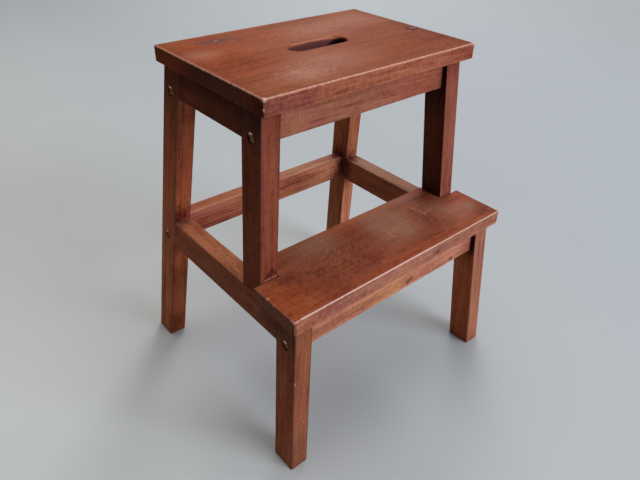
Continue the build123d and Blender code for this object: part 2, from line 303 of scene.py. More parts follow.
class StainedWood:
    """Builds the shader of one stained piece: rings, streaks, pores, end grain, thinned edges, painted
    light and shade, and marks.
    """

    SEED_STEPS = (0.37, 0.113, 0.071)
    RING_WANDER = 0.030
    RING_SHADE = 0.010
    THREAD_SHADE = 0.34
    FIBRE_SHADE = 0.20
    FULL_SHADE = 0.14
    PORE_SHADE = 0.30
    ROUGHNESS_SPREAD = 0.12
    FACE_TURN = (0.55, 0.85)
    END_TURN = (0.75, 0.97)
    END_SHADE = 0.5
    GATHER_REACH = (0.045, 0.012)
    GATHER_WANDER = 0.030
    CHIP_DEPTH = 0.0045
    WEAR_FULL = 0.0018
    WEAR_EDGE = 0.0022
    FRONT_BAND = (0.012, 0.004)
    DARK_LINE = (0.0026, 0.0008)

    def __init__(self, timber, stain, finish):
        self.timber, self.stain, self.finish = timber, stain, finish
        self.material = bpy.data.materials.new(f"stained_wood_{timber.node}")
        self.material.use_nodes = True
        self.nodes = ShaderNodes(self.material.node_tree)
        self.position = self.nodes.add("ShaderNodeTexCoord").outputs["Object"]
        self.normal = self.nodes.split(self.nodes.add("ShaderNodeNewGeometry").outputs["Normal"])
        self.ragged_edge = self.nodes.noise(self.position, 150.0, 4.0, 0.65)
        self.parts = self.local_parts()
        self.dark, self.mid, self.light = (
            [channel * share for channel, share in zip(colour, finish.tint)]
            for colour in (stain.dark, stain.mid, stain.light))
        self.figure()
        self.faces()
        self.end_grain()
        self.gathered_stain()
        if finish.marks:
            finish.marks(self)
        self.edge_wear_and_highlight()
        self.surface()

    def local_parts(self):
        """Position in the piece's own upright box: x, y and z from its middle."""
        nodes, timber = self.nodes, self.timber
        x, y, z = nodes.split(nodes.vector("SUBTRACT", self.position, tuple(timber.middle)))
        x = nodes.math("MULTIPLY_ADD", z, -timber.lean.x, x)
        y = nodes.math("MULTIPLY_ADD", z, -timber.lean.y, y)
        return x, y, z

    def figure(self):
        """Cloudy stain over growth rings, lengthwise streaks, threads, fibres and pores."""
        nodes, timber, finish = self.nodes, self.timber, self.finish
        order = [timber.grain] + [axis for axis in range(3) if axis != timber.grain]
        grain = nodes.join([self.parts[axis] for axis in order])
        shift = [timber.seed * step for step in self.SEED_STEPS]
        grain = nodes.vector("ADD", grain, shift)

        def grain_noise(along, across, detail, roughness=0.5):
            return nodes.noise(grain, (along, across, across), detail, roughness)

        wander = grain_noise(2.2, 11.0, 2.0)
        cloud = grain_noise(9.0, 26.0, 4.0, 0.6)
        hue = grain_noise(13.0, 34.0, 4.0, 0.6)
        self.streak = grain_noise(4.5, 150.0, 4.0, 0.6)
        thread = grain_noise(16.0, 420.0, 3.0, 0.6)
        self.fibre = grain_noise(50.0, 1400.0, 2.0, 0.6)
        self.pore = nodes.ramp(grain_noise(80.0, 1700.0, 1.0), 0.62, 0.72)
        pith = (0.0, 0.022 + 0.0009 * (timber.seed % 23), 0.055 + 0.0011 * (timber.seed % 31))
        across = nodes.join([0.0, self.parts[order[1]], self.parts[order[2]]])
        radius = nodes.length(nodes.vector("ADD", across, pith))
        radius = nodes.math("MULTIPLY_ADD", wander, self.RING_WANDER, radius)
        ring = nodes.math("SINE", nodes.math("MULTIPLY", radius, 2 * pi / self.stain.ring_spacing))
        shade = nodes.math("MULTIPLY", ring, self.RING_SHADE)
        layers = (
            (cloud, finish.clouds),
            (self.ragged_edge, finish.mottle),
            (self.streak, finish.streaks),
            (thread, self.THREAD_SHADE),
            (self.fibre, self.FIBRE_SHADE),
        )
        for layer, strength in layers:
            centred = nodes.math("SUBTRACT", layer, 0.5)
            shade = nodes.math("MULTIPLY_ADD", centred, strength, shade)
        darker = nodes.ramp(shade, -self.FULL_SHADE, 0.0, curve="LINEAR")
        lighter = nodes.ramp(shade, 0.0, self.FULL_SHADE, curve="LINEAR")
        colour = nodes.mix(lighter, nodes.mix(darker, self.dark, self.mid), self.light)
        self.colour = nodes.mix(nodes.math("MULTIPLY", self.pore, self.PORE_SHADE), colour, self.dark)
        self.wash(nodes.ramp(hue, 0.50, 0.68), ORANGE_CAST)
        self.wash(nodes.ramp(hue, 0.50, 0.32), PURPLE_CAST)
        smoothest = self.stain.roughness - self.ROUGHNESS_SPREAD / 2
        self.roughness = nodes.math("MULTIPLY_ADD", self.streak, self.ROUGHNESS_SPREAD, smoothest)

    def facing(self, face):
        """A mask of the surfaces that look the way a named face does."""
        nodes = self.nodes
        axis, sign = FACES[face]
        return nodes.ramp(nodes.math("MULTIPLY", self.normal[axis], sign), *self.FACE_TURN)

    def faces(self):
        """Painted light over whole faces: the front faces tinted lighter on some pieces and darker on
        others, as the lamps would light them; the upper faces given a painted sheen; and the fades, most of
        them painted shade under the boards and painted light near the floor.
        """
        nodes, finish = self.nodes, self.finish
        if finish.front_light_tint:
            self.wash(self.facing("front"), finish.front_light_tint)
        if finish.upper_sheen_tint:
            self.wash(self.facing("upper"), finish.upper_sheen_tint)
        along = nodes.split(self.position)[self.timber.grain]
        for fade in finish.fades:
            amount = nodes.ramp(along, fade.start, fade.end)
            self.wash(nodes.math("MULTIPLY", amount, self.facing(fade.face)), fade.tint)

    def end_grain(self):
        """Darker wood where the fibres end."""
        nodes = self.nodes
        facing = nodes.math("ABSOLUTE", self.normal[self.timber.grain])
        amount = nodes.ramp(facing, *self.END_TURN, 0.0, self.END_SHADE)
        self.colour = nodes.mix(amount, self.colour, self.dark)

    def gathered_stain(self):
        """Darker stain towards the ends, where it gathers at the joints."""
        nodes, timber = self.nodes, self.timber
        depth = nodes.math("ABSOLUTE", self.parts[timber.grain])
        depth = nodes.math("SUBTRACT", timber.half[timber.grain], depth)
        patch = nodes.noise(self.position, 45.0, 3.0)
        depth = nodes.math("MULTIPLY_ADD", patch, self.GATHER_WANDER, depth)
        amount = nodes.ramp(depth, *self.GATHER_REACH, 0.0, self.finish.dark_ends)
        self.colour = nodes.mix(amount, self.colour, self.dark)

    def arris_distance(self):
        """Distance to the nearest edge of the piece's box, measured over the surface."""
        nodes = self.nodes
        depths = [nodes.math("SUBTRACT", size, nodes.math("ABSOLUTE", part))
                  for part, size in zip(self.parts, self.timber.half)]
        smaller = nodes.math("MINIMUM", depths[0], depths[1])
        larger = nodes.math("MAXIMUM", depths[0], depths[1])
        return nodes.math("MAXIMUM", smaller, nodes.math("MINIMUM", larger, depths[2]))

    def edge_wear_and_highlight(self):
        """Stain thinned along the edges, most on the upper ones of the boards; the pale line is also a
        painted highlight on the rounded arrises.
        """
        nodes, finish, half = self.nodes, self.finish, self.timber.half
        chip = nodes.noise(self.position, 260.0, 4.0, 0.65)
        arris = self.arris_distance()
        reach = nodes.math("MULTIPLY_ADD", chip, self.CHIP_DEPTH, arris)
        amount = nodes.ramp(self.parts[Z_AXIS], half.z * 0.5, half.z * 0.9,
                            finish.edge_wear_and_highlight, finish.edge_wear_and_highlight + finish.top_wear_and_highlight)
        inner, outer = (depth - half.y for depth in self.FRONT_BAND)
        front = nodes.ramp(self.parts[Y_AXIS], inner, outer, finish.wear_off_front, 1.0)
        amount = nodes.math("MULTIPLY", amount, front)
        if finish.dark_arris:
            self.blend(nodes.ramp(arris, *self.DARK_LINE, 0.0, finish.dark_arris), self.stain.pooled_stain_and_shade)
        width = self.stain.wear_width * finish.wear_reach
        rubbed_and_highlight = nodes.ramp(reach, self.WEAR_EDGE + width, self.WEAR_FULL)
        self.blend(nodes.math("MULTIPLY", rubbed_and_highlight, amount), self.stain.worn_and_highlight, 0.12)

    def blend(self, factor, colour, rougher=0.0):
        """Lays another colour over the wood."""
        self.colour = self.nodes.mix(factor, self.colour, colour)
        if rougher:
            self.roughness = self.nodes.math("MULTIPLY_ADD", factor, rougher, self.roughness)

    def wash(self, factor, tint):
        """Multiplies the wood's colour by a tint."""
        self.colour = self.nodes.mix(factor, self.colour, tint, "MULTIPLY")

    def patch(self, middle, radii, ragged, soft):
        """A mask that is 1 inside a ragged ellipsoid and fades to 0 at its edge."""
        nodes = self.nodes
        offset = nodes.vector("SUBTRACT", self.position, middle)
        reach = nodes.length(nodes.vector("DIVIDE", offset, radii))
        if ragged:
            jitter = nodes.math("SUBTRACT", self.ragged_edge, 0.5)
            reach = nodes.math("MULTIPLY_ADD", jitter, ragged, reach)
        return nodes.ramp(reach, 1.0, 1.0 - soft)

    def spot(self, middle, radii, colour, strength=1.0, ragged=0.0, soft=0.5):
        """A patch of another colour."""
        mask = self.patch(middle, radii, ragged, soft)
        self.blend(self.nodes.math("MULTIPLY", mask, strength), colour)

    def dull_and_sheen(self, middle, radii, strength, colour=None):
        """A patch of scuffed lacquer and painted sheen with no clear edge."""
        self.spot(middle, radii, colour or self.stain.pale_haze_and_sheen, strength, 1.6, 1.0)

    def tone(self, middle, radii, tint, ragged=1.0, soft=1.0, face=None):
        """A tinted patch, on one face only if it is named; it gives the wood's own tone, painted light and
        painted shade.
        """
        mask = self.patch(middle, radii, ragged, soft)
        if face:
            mask = self.nodes.math("MULTIPLY", mask, self.facing(face))
        self.wash(mask, tint)

    def scratch(self, start, end, width, colour, strength):
        """A thin straight line."""
        nodes = self.nodes
        run = Vector(end) - Vector(start)
        offset = nodes.vector("SUBTRACT", self.position, start)
        share = nodes.math("DIVIDE", nodes.dot(offset, tuple(run)), run.length_squared, clamp=True)
        nearest = nodes.vector("MULTIPLY", nodes.join([share, share, share]), tuple(run))
        distance = nodes.length(nodes.vector("SUBTRACT", offset, nearest))
        self.blend(nodes.ramp(distance, width, width * 0.3, 0.0, strength), colour)

    def scuffs(self, middle, radii, turn, strength):
        """Many fine pale rubs within a patch, all at about one angle."""
        nodes = self.nodes
        x, y, z = nodes.split(self.position)
        along = nodes.math("MULTIPLY_ADD", y, sin(turn), nodes.math("MULTIPLY", x, cos(turn)))
        across = nodes.math("MULTIPLY_ADD", y, cos(turn), nodes.math("MULTIPLY", x, -sin(turn)))
        rub = nodes.noise(nodes.join([along, across, z]), (80.0, 360.0, 1.0), 4.0, 0.65)
        mask = nodes.math("MULTIPLY", nodes.ramp(rub, 0.50, 0.70), self.patch(middle, radii, 1.6, 1.0))
        self.blend(nodes.math("MULTIPLY", mask, strength), self.stain.worn_and_highlight, 0.1)

    def surface(self):
        """The shader itself, with its bump."""
        nodes = self.nodes
        height = nodes.math("MULTIPLY_ADD", self.pore, -0.8, self.fibre)
        bump = nodes.add("ShaderNodeBump", {"Strength": 0.20, "Distance": 0.00035, "Height": height})
        shader = nodes.add("ShaderNodeBsdfPrincipled", {
            "Base Color": self.colour,
            "Roughness": self.roughness,
            "Specular IOR Level": self.finish.gloss,
            "Normal": bump.outputs[0],
        })
        nodes.add("ShaderNodeOutputMaterial", {"Surface": shader.outputs[0]})


def plated_metal(name, colour, worn_and_highlight, roughness, painted_highlight_above=0.0):
    """Plated steel with a fine mottle, brighter in patches, with a painted highlight on its upper side and
    painted shade in its socket and other recesses.
    """
    material = bpy.data.materials.new(name)
    material.use_nodes = True
    nodes = ShaderNodes(material.node_tree)
    position = nodes.add("ShaderNodeTexCoord").outputs["Object"]
    mottle = nodes.noise(position, 700.0, 3.0, 0.6)
    patch = nodes.noise(position, 260.0, 2.0)
    tint = nodes.mix(nodes.ramp(patch, 0.50, 0.72, 0.0, 0.12), colour, worn_and_highlight)
    upward = nodes.split(nodes.add("ShaderNodeNewGeometry").outputs["Normal"])[Z_AXIS]
    # Painted highlight on the upper side of the head.
    tint = nodes.mix(nodes.ramp(upward, 0.40, 0.62, 0.0, painted_highlight_above), tint, worn_and_highlight)
    # Painted shade: darker in the hex socket and other recesses.
    open_sky = nodes.add("ShaderNodeAmbientOcclusion", {"Distance": 0.004}, only_local=True).outputs["AO"]
    tint = nodes.mix(nodes.ramp(open_sky, 0.75, 0.30), tint, [channel * 0.15 for channel in colour])
    rough = nodes.math("MULTIPLY_ADD", mottle, 0.22, roughness - 0.11)
    bump = nodes.add("ShaderNodeBump", {"Strength": 0.15, "Distance": 0.0001, "Height": mottle})
    shader = nodes.add("ShaderNodeBsdfPrincipled", {
        "Base Color": tint,
        "Metallic": 1.0,
        "Specular Tint": (*colour, 1.0),
        "Roughness": rough,
        "Normal": bump.outputs[0],
    })
    nodes.add("ShaderNodeOutputMaterial", {"Surface": shader.outputs[0]})
    return material


def plain_dowel_wood(colour):
    """Unfinished pale wood with fine fibres along the dowel."""
    material = bpy.data.materials.new("dowel_wood")
    material.use_nodes = True
    nodes = ShaderNodes(material.node_tree)
    position = nodes.add("ShaderNodeTexCoord").outputs["Object"]
    fibre = nodes.noise(position, 900.0, 3.0, 0.6)
    dark = [channel * 0.7 for channel in colour]
    tint = nodes.mix(nodes.ramp(fibre, 0.35, 0.65), dark, colour)
    rough = nodes.math("MULTIPLY_ADD", fibre, 0.2, 0.5)
    bump = nodes.add("ShaderNodeBump", {"Strength": 0.2, "Distance": 0.0002, "Height": fibre})
    shader = nodes.add("ShaderNodeBsdfPrincipled", {
        "Base Color": tint,
        "Roughness": rough,
        "Normal": bump.outputs[0],
    })
    nodes.add("ShaderNodeOutputMaterial", {"Surface": shader.outputs[0]})
    return material


def mark_top_board(wood):
    """Scuffed patches with painted sheen, a smear, a ring knot, corners bare of stain, painted shade on the
    walls of the hand slot and a painted highlight on its far rim.
    """
    stain = wood.stain
    low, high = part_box("top_board")
    left, front, top = low.x, low.y, high.z
    wood.tone((-0.130, 0.030, top), (0.090, 0.130, 0.050), (1.08, 0.88, 0.62))
    wood.tone((-0.115, 0.004, top), (0.060, 0.040, 0.006), (0.86, 0.78, 0.80), 1.6)
    wood.tone((0.150, -0.045, top), (0.140, 0.110, 0.050), (0.82, 0.76, 0.80))
    wood.tone((0.088, -0.054, top), (0.040, 0.022, 0.006), (1.08, 0.96, 0.74), 1.6)
    # Painted sheen over scuffed lacquer: these patches lie where a bright window would reflect.
    wood.dull_and_sheen((-0.090, -0.066, top), (0.055, 0.040, 0.010), 0.50)
    wood.dull_and_sheen((-0.030, -0.045, top), (0.090, 0.055, 0.010), 0.36)
    wood.dull_and_sheen((0.040, 0.075, top), (0.090, 0.050, 0.010), 0.36)
    wood.dull_and_sheen((0.125, 0.080, top), (0.085, 0.060, 0.010), 0.34)
    wood.spot((-0.104, 0.1020, top), (0.040, 0.014, 0.006), (0.110, 0.046, 0.050), 0.92, 1.2, 0.9)
    wood.spot((-0.1025, 0.1030, top), (0.005, 0.002, 0.003), stain.worn_and_highlight, 0.35, 0.8)
    wood.spot((0.160, -0.0040, top), (0.017, 0.012, 0.004), stain.pooled_stain_and_shade, 0.88, 1.2, 0.6)
    wood.spot((0.162, -0.0030, top), (0.0075, 0.0045, 0.003), stain.pale_haze_and_sheen, 0.62, 0.8, 0.5)
    wood.spot((0.1605, -0.0040, top), (0.0045, 0.003, 0.002), stain.pooled_stain_and_shade, 0.85, 0.0, 0.5)
    wood.scuffs((-0.020, 0.070, top), (0.120, 0.060, 0.010), 0.9, 0.16)
    wood.scuffs((-0.060, -0.060, top), (0.110, 0.050, 0.010), 0.7, 0.16)
    wood.tone((-0.150, front, top - 0.012), (0.090, 0.004, 0.020), (0.66, 0.60, 0.80), 1.2)
    wood.tone((left, 0.100, top - 0.011), (0.004, 0.070, 0.030), (1.56, 1.40, 1.44))
    wood.tone((left, 0.010, top - 0.011), (0.004, 0.080, 0.030), (0.76, 1.00, 1.50), 1.6)
    wood.tone((left, -0.040, top - 0.011), (0.004, 0.120, 0.030), (0.96, 1.22, 1.55), 1.6)
    wood.tone((left, -0.105, top - 0.011), (0.004, 0.040, 0.030), (0.56, 0.44, 0.40), 0.6)
    wood.tone((-0.030, 0.090, top), (0.070, 0.050, 0.006), (1.04, 0.90, 0.64))
    # Painted sheen over scuffed lacquer.
    wood.dull_and_sheen((-0.148, 0.060, top), (0.040, 0.034, 0.010), 0.34)
    slot_y = wood.timber.middle.y + 0.0025
    # Painted shade: the walls of the hand slot are darkened, and its right end is nearly black.
    wood.spot((0.0, slot_y, top - 0.0130), (0.090, 0.050, 0.0132), (0.100, 0.032, 0.034), 0.90, 0.0, 0.25)
    wood.spot((0.052, slot_y, top - 0.0130), (0.029, 0.040, 0.0134), (0.010, 0.005, 0.005), 0.95, 0.0, 0.30)
    wood.spot((-0.040, slot_y, top - 0.0130), (0.012, 0.040, 0.0134), stain.pooled_stain_and_shade, 0.70, 0.0, 0.60)
    # Painted highlight: a pale line on the rounded far rim of the slot, where it catches the light.
    rim = slot_y + 0.0155
    wood.scratch((-0.034, rim, top), (0.036, rim, top), 0.0014, stain.worn_and_highlight, 0.28)
    for side in (-1, 1):
        corner = (side * 0.174, front + 0.001, top - 0.001)
        wood.spot(corner, (0.006, 0.005, 0.004), stain.worn_and_highlight, 0.8, 1.0, 0.7)
    wood.spot((-0.175, front, top - 0.012), (0.002, 0.003, 0.003), stain.worn_and_highlight, 0.7, 0.8, 0.6)


def mark_step_board(wood):
    """Dull and scuffed wood where feet land, with painted sheen over it; painted light at the back, under
    the top board's overhang; a front arris bare of stain with a painted highlight along it; knots and
    chipped edges.
    """
    stain = wood.stain
    low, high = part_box("step_board")
    front, top = low.y, high.z
    arris = front + 0.0007
    # These colours paint walked lacquer with a sheen over it, and the front arris bare of stain with a
    # painted highlight.
    walked_and_sheen = (0.370, 0.185, 0.112)
    rubbed_and_highlight = (0.900, 0.680, 0.610)
    wood.tone((-0.175, -0.150, top), (0.080, 0.065, 0.050), (1.10, 0.90, 0.64))
    wood.tone((0.000, -0.176, top), (0.230, 0.012, 0.006), (1.06, 0.92, 0.72))
    # Painted light: the back of the step, shaded by the top board's overhang, is lightened.
    wood.tone((0.000, -0.062, top), (0.180, 0.036, 0.006), (1.62, 1.72, 1.40), 0.6)
    wood.tone((-0.125, -0.155, top), (0.048, 0.040, 0.006), (0.72, 0.66, 0.70))
    wood.tone((0.184, -0.162, top), (0.046, 0.036, 0.006), (0.62, 0.58, 0.60))
    # Painted sheen over scuffed lacquer.
    wood.dull_and_sheen((0.128, -0.112, top), (0.040, 0.024, 0.010), 0.36)
    wood.tone((-0.153, -0.116, top), (0.030, 0.020, 0.006), (0.62, 0.55, 0.60), 1.4)
    wood.tone((-0.024, -0.082, top), (0.034, 0.034, 0.006), (0.92, 0.80, 0.72), 1.2)
    wood.tone((-0.030, -0.120, top), (0.046, 0.060, 0.006), (0.90, 0.82, 0.80), 0.8, 0.8)
    # Painted sheen over walked lacquer, where a bright window would reflect.
    wood.spot((-0.080, -0.080, top), (0.056, 0.032, 0.010), walked_and_sheen, 0.52, 1.6, 0.9)
    wood.spot((0.040, -0.098, top), (0.046, 0.058, 0.010), walked_and_sheen, 0.44, 1.2, 0.55)
    wood.dull_and_sheen((0.105, -0.066, top), (0.050, 0.026, 0.010), 0.36)
    wood.dull_and_sheen((0.050, -0.138, top), (0.080, 0.032, 0.010), 0.24, walked_and_sheen)
    wood.spot((0.150, -0.140, top), (0.060, 0.036, 0.010), stain.pale_haze_and_sheen, 0.36, 1.8, 1.0)
    wood.spot((0.176, -0.146, top), (0.018, 0.014, 0.006), (0.330, 0.210, 0.140), 0.22, 1.6, 0.9)
    wood.tone((0.134, -0.088, top), (0.036, 0.030, 0.006), (0.66, 0.54, 0.56), 1.6)
    wood.tone((0.093, -0.132, top), (0.022, 0.020, 0.006), (0.66, 0.56, 0.64), 1.6)
    wood.tone((0.171, -0.122, top), (0.022, 0.010, 0.006), (1.00, 0.76, 0.72), 1.2)
    wood.scuffs((0.110, -0.120, top), (0.060, 0.050, 0.010), 0.8, 0.34)
    wood.scuffs((0.030, -0.110, top), (0.070, 0.060, 0.010), 1.3, 0.20)
    wood.scuffs((-0.080, -0.120, top), (0.100, 0.060, 0.010), 0.7, 0.20)
    wood.scratch((0.098, -0.096, top), (0.1015, -0.108, top), 0.0022, stain.worn_and_highlight, 0.20)
    wood.scratch((0.1015, -0.108, top), (0.101, -0.121, top), 0.0020, stain.worn_and_highlight, 0.26)
    # Front arris bare of stain, with a painted highlight along it.
    wood.scratch((-0.187, arris, top), (0.040, arris, top), 0.0017, rubbed_and_highlight, 0.60)
    wood.scratch((0.040, arris, top), (0.190, arris, top), 0.0016, rubbed_and_highlight, 0.30)
    wood.spot((-0.1960, -0.1305, top), (0.004, 0.003, 0.004), stain.worn_and_highlight, 0.5, 1.2, 0.9)
    wood.spot((-0.1975, -0.1440, top - 0.002), (0.003, 0.002, 0.004), stain.worn_and_highlight, 0.3, 1.2, 0.9)
    wood.tone((-0.199, -0.150, top - 0.011), (0.004, 0.100, 0.016), (1.07, 1.84, 2.70), 0.6, 0.6)
    wood.tone((-0.140, front, top - 0.010), (0.075, 0.004, 0.016), (0.80, 0.72, 0.80), 1.4)
    wood.tone((-0.197, front, top - 0.011), (0.004, 0.004, 0.024), (0.48, 0.34, 0.32), 0.4, 0.6)
    wood.tone((0.064, front, top - 0.009), (0.022, 0.004, 0.010), (0.76, 0.72, 0.80), 0.9)
    wood.spot((0.055, front, 0.2505), (0.009, 0.005, 0.006), stain.pooled_stain_and_shade, 0.85, 1.2, 0.9)
    wood.spot((-0.168, front, 0.248), (0.006, 0.004, 0.003), stain.pooled_stain_and_shade, 0.50, 1.2, 0.9)


def saw_lines(wood, middle, radii, spacing, strength):
    """Fine upright lines that a blunt saw left across a face."""
    nodes = wood.nodes
    waver = nodes.noise(wood.position, (60.0, 60.0, 30.0), 2.0)
    phase = nodes.math("MULTIPLY", nodes.split(wood.position)[X_AXIS], 2 * pi / spacing)
    wave = nodes.math("SINE", nodes.math("MULTIPLY_ADD", waver, 9.0, phase))
    mask = nodes.math("MULTIPLY", nodes.ramp(wave, 0.0, 1.0), wood.patch(middle, radii, 0.6, 0.8))
    wood.blend(nodes.math("MULTIPLY", mask, strength), wood.dark)


def mark_top_front_rail(wood):
    """Saw lines on the left third and redder wood to the right."""
    low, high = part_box("top_front_rail")
    height = (low.z + high.z) / 2
    saw_lines(wood, (-0.105, low.y, height), (0.052, 0.010, 0.040), 0.0046, 0.32)
    wood.tone((0.100, low.y, height), (0.110, 0.010, 0.040), (1.05, 0.84, 0.84), 0.8)


def mark_step_front_rail(wood):
    """Two knots low down and a short dark nick."""
    stain = wood.stain
    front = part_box("step_front_rail")[0].y
    wood.tone((0.022, front, 0.210), (0.022, 0.010, 0.012), (0.84, 0.74, 0.78), 0.9)
    wood.spot((0.020, front, 0.2045), (0.007, 0.008, 0.005), stain.pooled_stain_and_shade, 0.70, 1.2, 1.0)
    wood.spot((0.027, front, 0.2080), (0.005, 0.008, 0.005), stain.pooled_stain_and_shade, 0.62, 1.2, 1.0)
    wood.spot((0.117, front, 0.2020), (0.006, 0.008, 0.005), stain.pooled_stain_and_shade, 0.90, 1.0, 0.9)
    wood.spot((-0.088, front, 0.2165), (0.0015, 0.008, 0.003), stain.pooled_stain_and_shade, 0.60, 0.0, 0.6)


def mark_upper_post_left(wood):
    """A bruised corner at the foot, where stain has run into the dents, and a painted highlight along the
    lit step edge below it.
    """
    stain = wood.stain
    front = -0.1007
    wood.tone((-0.1685, front, 0.2710), (0.0110, 0.010, 0.0090), (0.66, 0.52, 0.58), 1.2)
    for step in range(4):
        low = (-0.181 + 0.0052 * step, front, 0.2665 + 0.0008 * step)
        high = (-0.167 + 0.0018 * step, front, 0.2785 - 0.0032 * step)
        wood.scratch(low, high, 0.0016, stain.pooled_stain_and_shade, 0.95 - 0.14 * step)
    wood.scratch((-0.167, front, 0.2785), (-0.160, front, 0.2665), 0.0015, stain.pooled_stain_and_shade, 0.80)
    # Painted highlight: the lit edge of the step board at the post's foot.
    wood.scratch((-0.180, front, 0.2643), (-0.161, front, 0.2643), 0.0013, stain.pale_haze_and_sheen, 0.70)


def mark_front_leg_left(wood):
    """Two pale chips and a dark line across the foot."""
    stain = wood.stain
    wood.spot((-0.194, -0.181, 0.155), (0.002, 0.006, 0.004), stain.worn_and_highlight, 0.55, 0.9, 0.8)
    wood.spot((-0.184, -0.186, 0.079), (0.002, 0.006, 0.002), stain.worn_and_highlight, 0.50, 0.9, 0.8)
    wood.scratch((-0.203, -0.190, 0.028), (-0.178, -0.190, 0.026), 0.0014, stain.pooled_stain_and_shade, 0.6)


def mark_rear_leg_left(wood):
    """Stain lying thick above the side rail and at the foot, and paler wood between them."""
    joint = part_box("lower_side_rail_left")[1]
    corner = (-0.190, joint.y, joint.z + 0.010)
    wood.tone(corner, (0.050, 0.040, 0.034), (0.38, 0.26, 0.34), 1.2, 0.8, "front")
    wood.tone((-0.190, 0.125, 0.168), (0.040, 0.060, 0.040), (1.70, 1.70, 1.75), 0.8, 1.0, "front")
    wood.tone((-0.200, 0.150, 0.030), (0.030, 0.040, 0.045), (0.62, 0.55, 0.58), 1.4)


def mark_rear_corner(wood):
    """Painted shade in the corner where the right rear leg meets both lower rails."""
    low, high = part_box("lower_rear_rail")
    wood.tone((high.x, low.y, high.z), (0.040, 0.040, 0.044), (0.48, 0.36, 0.48), 1.2)
    wood.tone((high.x, low.y, (low.z + high.z) / 2), (0.028, 0.036, 0.044), (0.46, 0.36, 0.42))


def mark_lower_side_rail_left(wood):
    """Stain lying thick where the rail meets the rear leg."""
    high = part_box("lower_side_rail_left")[1]
    wood.tone((-0.188, high.y, high.z), (0.050, 0.036, 0.020), (0.60, 0.57, 0.86), 1.4)


def mark_upper_side_rail_left(wood):
    """Painted shade under the top board, and painted light, redder, lower down near the rear end."""
    low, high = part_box("upper_side_rail_left")
    middle = (low + high) / 2
    # Painted shade under the top board.
    wood.tone((middle.x, middle.y, high.z), (0.060, 0.140, 0.020), (0.55, 0.52, 0.66))
    # Painted light, lower down near the rear end.
    wood.tone((middle.x, high.y - 0.030, low.z + 0.012), (0.060, 0.060, 0.022), (1.55, 1.30, 1.30), 1.4)


def shadowed_end(rail):
    """Marks an upright with painted shade on its left face, in the narrow strip beside a cross rail's end.
    """
    def marks(wood):
        low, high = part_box(rail)
        corner = (high.x, low.y - 0.003, high.z)
        # Painted shade, nearly black, between the rail's front and the upright's front arris.
        painted_shade = wood.patch(corner, (0.006, 0.009, (high.z - low.z) * 1.45), 0.0, 0.4)
        wood.blend(wood.nodes.math("MULTIPLY", painted_shade, wood.facing("left")), (0.035, 0.011, 0.008))
    return marks


CROSS_RAIL_FINISHES = {
    "top_front_rail": Finish(
        tint=(1.22, 1.65, 2.26), marks=mark_top_front_rail,
        fades=(Fade("front", -0.06, -0.12, (1.10, 1.12, 1.06)),)),
    "top_rear_rail": Finish(),
    "lower_rear_rail": Finish(
        tint=(1.45, 1.77, 2.14), upper_sheen_tint=(0.91, 1.06, 1.08), top_wear_and_highlight=0.40, clouds=0.50, streaks=0.55,
        marks=mark_rear_corner,
        fades=(
            Fade("front", -0.02, -0.10, (0.76, 0.68, 0.72)),
            Fade("front", 0.06, 0.12, (1.42, 1.60, 1.62)),
            Fade("upper", -0.02, -0.10, (0.84, 0.78, 0.70)),
            Fade("upper", 0.00, 0.08, (1.10, 1.34, 1.50)),
        )),
    "step_front_rail": Finish(
        tint=(1.97, 3.03, 3.76), marks=mark_step_front_rail,
        fades=(Fade("front", 0.12, 0.17, (0.74, 0.70, 0.66)),)),
}
